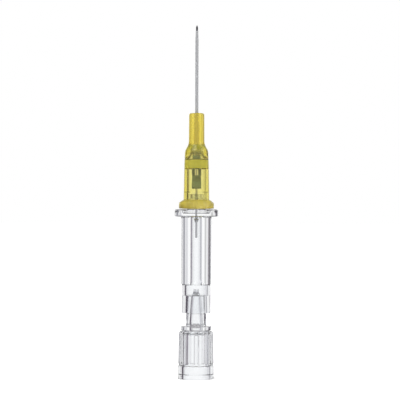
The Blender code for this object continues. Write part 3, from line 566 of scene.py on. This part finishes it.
def makeCatheterHub(v):
    rear = foot("catheter_hub")
    spoutTip = top("catheter_hub")
    flangeTop = rear + v["flangeHeight"]
    spoutStart = spoutTip - v["spoutLength"]
    bodyEnd = spoutStart - v["shoulderLength"]
    wedgeRear = foot("tube_wedge")
    ridgeEnd = bodyEnd - v["ridgeToBodyEnd"]
    ridgeStart = ridgeEnd - v["ridgeLength"]
    noseTip = top("needle_hub")
    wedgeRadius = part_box("tube_wedge")[1].x / mm + v["fitGap"]
    tubeRadius = v["tubeRadius"] + v["snugGap"]
    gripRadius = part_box("catheter_tube")[1].x / mm + v["snugGap"]
    wedgeTip = top("tube_wedge")

    def socketRadius(height):
        return needleHub["noseTip"] + needleHub["taperShare"] * (noseTip - height) + v["fitGap"]

    step = v["flangeHeight"] / v["flangeRows"]
    radii = (v["lugRoot"], v["lugRoot"], v["lugRadius"], v["lugRadius"], v["lugRoot"], v["lugRoot"])
    corners = [(radius, rear + i * step, "sharp") for i, radius in enumerate(radii)] + [
        (v["bodyRear"], flangeTop + v["bodyStep"], "eased"),
        (v["bodyMiddle"], ridgeStart, "sharp"),
        (v["bodyFront"], bodyEnd, "body"),
        (v["spoutRear"], spoutStart, "neck"),
        (v["spoutFront"], spoutTip, "spout"),
        (tubeRadius, spoutTip, "step"),
        (tubeRadius, wedgeTip + v["gripRunOut"], "step"),
        (gripRadius, wedgeTip + v["gripEnd"], "step"),
        (gripRadius, wedgeRear + v["wedgeFunnel"], "step"),
        (wedgeRadius, wedgeRear + v["wedgeRim"], "step"),
        (wedgeRadius, wedgeRear, "bore"),
        (v["frontCavity"], ridgeEnd + v["cavityStep"], "soft"),
        (v["clipChamber"] - v["ridgeHeight"], ridgeEnd, "soft"),
        (v["clipChamber"] - v["ridgeHeight"], ridgeStart, "soft"),
        (v["clipChamber"], ridgeStart - v["cavityStep"], "soft"),
        (v["clipChamber"], noseTip + v["socketRunOn"] + v["socketStep"], "bore"),
        (socketRadius(noseTip + v["socketRunOn"]), noseTip + v["socketRunOn"], "bore"),
        (socketRadius(rear), rear, "soft"),
    ]
    mesh = turned(corners, v["steps"])
    halfTurn = math.pi
    for vert in mesh.verts:
        radius = math.hypot(vert.co.x, vert.co.y)
        if radius < v["bodyRear"] + v["lugMargin"] or vert.co.z > flangeTop + v["rowMargin"]:
            continue
        ring = round((vert.co.z - rear) / step)
        if ring in (0, v["flangeRows"]):
            continue
        # the rows of the flange climb with the thread, and each lug runs out into the root at its ends
        angle = math.atan2(vert.co.y, vert.co.x)
        offset = (angle + halfTurn / 2) % halfTurn - halfTurn / 2
        rise = v["lugLead"] * offset / math.tau
        heights = (None, rise - v["lugFlank"], rise, rise + v["lugLand"], rise + v["lugLand"] + v["lugFlank"])
        low = ring * v["fineEdge"]
        high = v["flangeHeight"] - (v["flangeRows"] - ring) * v["fineEdge"]
        vert.co.z = rear + limited(heights[ring], low, high)
        if radius > v["lugRoot"] + v["rootMargin"]:
            toEnd = halfTurn * v["lugSpanShare"] / 2 - abs(offset)
            fullness = limited(toEnd / (halfTurn * v["lugEndShare"]), 0, 1)
            wanted = v["lugRoot"] + (v["lugRadius"] - v["lugRoot"]) * fullness
            vert.co.x *= wanted / radius
            vert.co.y *= wanted / radius
    finishPiece(
        mesh, "yellow_catheter_hub", yellowPlastic, "catheter_unit", "catheter_hub",
    )


makeCatheterHub(catheterHub)


# The CAD solids that show as they are
cadFinishes = {
    "vent_filter": filterPad, "needle_adhesive": curedGlue, "needle": needleSteel,
    "safety_clip": stripSteel, "tube_wedge": wedgeSteel, "catheter_tube": tubeFilm,
}
for node, finish in cadFinishes.items():
    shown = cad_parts[node]
    shown.data.materials.clear()
    shown.data.materials.append(finish)
print("CAD nodes finished")


# Studio

studio = {
    "floorSide": 6.0, "floorColour": "F4F4F4", "floorLift": 0.28, "white": 1.0, "softLevel": 0.87,
    "cameraDistance": 0.470, "cameraHeight": 0.0406, "cameraAside": 0.00081, "fieldWidth": 0.0909,
    "sensor": 36.0, "roll": 0.2,
}

# What the plastic and the steel see round the room: white boards with darker gaps between them.
# By bearing in degrees, where 0 is straight behind and 90 is on the right, and then by height in degrees.
roomByBearing = [
    (-180, "FFFFFF"), (-120, "F0F0F0"), (-100, "B0B0B6"), (-80, "A8A0AC"), (-70, "504A5A"), (-66, "38303E"),
    (-50, "443C4A"), (-47, "B0AAB0"), (-44, "E4E2E4"), (-37, "FFFFFF"), (-33, "D4D4D4"), (-29, "C4C4C4"),
    (-25, "FFFFFF"), (26, "FFFFFF"), (29, "D8D8DC"), (33, "DCDCE0"), (38, "F0F0F0"),
    (42, "C8C8CC"), (46, "80808A"), (51, "A8A8AC"), (56, "D0D0D4"), (66, "ECECEC"), (78, "C0C0C6"),
    (84, "A4A4AC"), (100, "A8A8B0"), (120, "F0F0F0"), (180, "FFFFFF"),
]
roomByHeight = [
    (-90, "FFFFFF"), (-68, "E8E8EC"), (-60, "70707C"), (-46, "60606C"), (-38, "D0D0D4"), (-22, "FFFFFF"),
    (24, "FFFFFF"), (40, "F0F0F0"), (48, "A0A0A8"), (54, "545060"), (62, "4A4654"), (70, "C8C8CC"),
    (90, "FFFFFF"),
]


def raysSeen(tree):
    # 1 for rays that gloss and clear plastic send out, and 0 for all others
    rays = addNode(tree, "ShaderNodeLightPath")
    sees = addNode(
        tree, "ShaderNodeMath", {"operation": "MAXIMUM"},
        {0: rays.outputs["Is Glossy Ray"], 1: rays.outputs["Is Transmission Ray"]},
    )
    return sees.outputs["Value"], rays.outputs["Is Camera Ray"]


def makeWorld(v):
    world = bpy.data.worlds.new("studio")
    world.use_nodes = True
    bpy.context.scene.world = world
    tree = world.node_tree
    tree.nodes.clear()
    way = addNode(tree, "ShaderNodeTexCoord")
    parts = addNode(tree, "ShaderNodeSeparateXYZ", links={"Vector": way.outputs["Generated"]})
    bearing = addNode(
        tree, "ShaderNodeMath", {"operation": "ARCTAN2"}, {0: parts.outputs["X"], 1: parts.outputs["Y"]},
    )
    round360 = addNode(
        tree, "ShaderNodeMapRange", {"From Min": -math.pi, "From Max": math.pi},
        {"Value": bearing.outputs["Value"]},
    )
    sides = addNode(tree, "ShaderNodeValToRGB", links={"Fac": round360.outputs["Result"]})
    fillRamp(sides.color_ramp, roomByBearing, -180, 180)
    height = addNode(tree, "ShaderNodeMath", {"operation": "ARCSINE"}, {0: parts.outputs["Z"]})
    upDown = addNode(
        tree, "ShaderNodeMapRange", {"From Min": -math.pi / 2, "From Max": math.pi / 2},
        {"Value": height.outputs["Value"]},
    )
    levels = addNode(tree, "ShaderNodeValToRGB", links={"Fac": upDown.outputs["Result"]})
    fillRamp(levels.color_ramp, roomByHeight, -90, 90)
    room = addNode(
        tree, "ShaderNodeVectorMath", {"operation": "MULTIPLY"},
        {0: sides.outputs["Color"], 1: levels.outputs["Color"]},
    )
    sees, camera = raysSeen(tree)
    soft = addNode(tree, "ShaderNodeBackground", {"Color": linear("FFFFFF"), "Strength": v["softLevel"]})
    seen = addNode(tree, "ShaderNodeBackground", {"Strength": v["white"]}, {"Color": room.outputs["Vector"]})
    white = addNode(tree, "ShaderNodeBackground", {"Color": linear("FFFFFF"), "Strength": v["white"]})
    first = addNode(
        tree, "ShaderNodeMixShader",
        links={0: sees, 1: soft.outputs["Background"], 2: seen.outputs["Background"]},
    )
    second = addNode(
        tree, "ShaderNodeMixShader",
        links={0: camera, 1: first.outputs["Shader"], 2: white.outputs["Background"]},
    )
    addNode(tree, "ShaderNodeOutputWorld", links={"Surface": second.outputs["Shader"]})


def makeFloor(v):
    mesh = bmesh.new()
    bmesh.ops.create_grid(mesh, x_segments=1, y_segments=1, size=v["floorSide"] / 2)
    data = bpy.data.meshes.new("floor")
    mesh.to_mesh(data)
    mesh.free()
    # Matt painted board: it takes the object's shadow, and gloss and clear plastic see the white room past it
    material, tree = newMaterial("matt_painted_board")
    paint = addNode(tree, "ShaderNodeBsdfDiffuse", {"Color": linear(v["floorColour"])})
    lift = addNode(tree, "ShaderNodeEmission", {"Color": linear("FFFFFF"), "Strength": v["floorLift"]})
    lifted = addNode(
        tree, "ShaderNodeAddShader", links={0: paint.outputs["BSDF"], 1: lift.outputs["Emission"]},
    )
    past = addNode(tree, "ShaderNodeBsdfTransparent")
    sees, camera = raysSeen(tree)
    shown = addNode(
        tree, "ShaderNodeMixShader", links={0: camera, 1: paint.outputs["BSDF"], 2: lifted.outputs["Shader"]},
    )
    whole = addNode(
        tree, "ShaderNodeMixShader", links={0: sees, 1: shown.outputs["Shader"], 2: past.outputs["BSDF"]},
    )
    addNode(tree, "ShaderNodeOutputMaterial", links={"Surface": whole.outputs["Shader"]})
    data.materials.append(material)
    floor = bpy.data.objects.new("floor", data)
    bpy.context.scene.collection.objects.link(floor)


# Two wide, weak disc lamps, with their places in metres and their powers in watts, aimed at the hubs
lamps = {
    "key_lamp": {"place": (-0.35, -0.55, 0.85), "size": 0.7, "power": 3.0},
    "fill_lamp": {"place": (0.75, -0.2, 0.5), "size": 0.6, "power": 1.2},
}
lampAim = (0, 0, 0.04)


def addLamp(name, v):
    lamp = bpy.data.lights.new(name, "AREA")
    lamp.shape = "DISK"
    lamp.size = v["size"]
    lamp.energy = v["power"]
    holder = bpy.data.objects.new(name, lamp)
    holder.location = v["place"]
    holder.rotation_euler = (Vector(lampAim) - Vector(v["place"])).to_track_quat("-Z", "Y").to_euler()
    bpy.context.scene.collection.objects.link(holder)


def addCamera(v):
    lens = bpy.data.cameras.new("camera")
    lens.sensor_width = v["sensor"]
    lens.lens = v["sensor"] * v["cameraDistance"] / v["fieldWidth"]
    camera = bpy.data.objects.new("camera", lens)
    turn = Matrix.Rotation(math.radians(v["roll"]), 4, "Z")
    camera.matrix_world = (
        Matrix.Translation((v["cameraAside"], -v["cameraDistance"], v["cameraHeight"]))
        @ Matrix.Rotation(math.radians(90), 4, "X") @ turn
    )
    bpy.context.scene.collection.objects.link(camera)
    bpy.context.scene.camera = camera


makeWorld(studio)
makeFloor(studio)
for name, values in lamps.items():
    addLamp(name, values)
addCamera(studio)
bpy.context.scene.view_settings.view_transform = "Standard"
print("studio made")
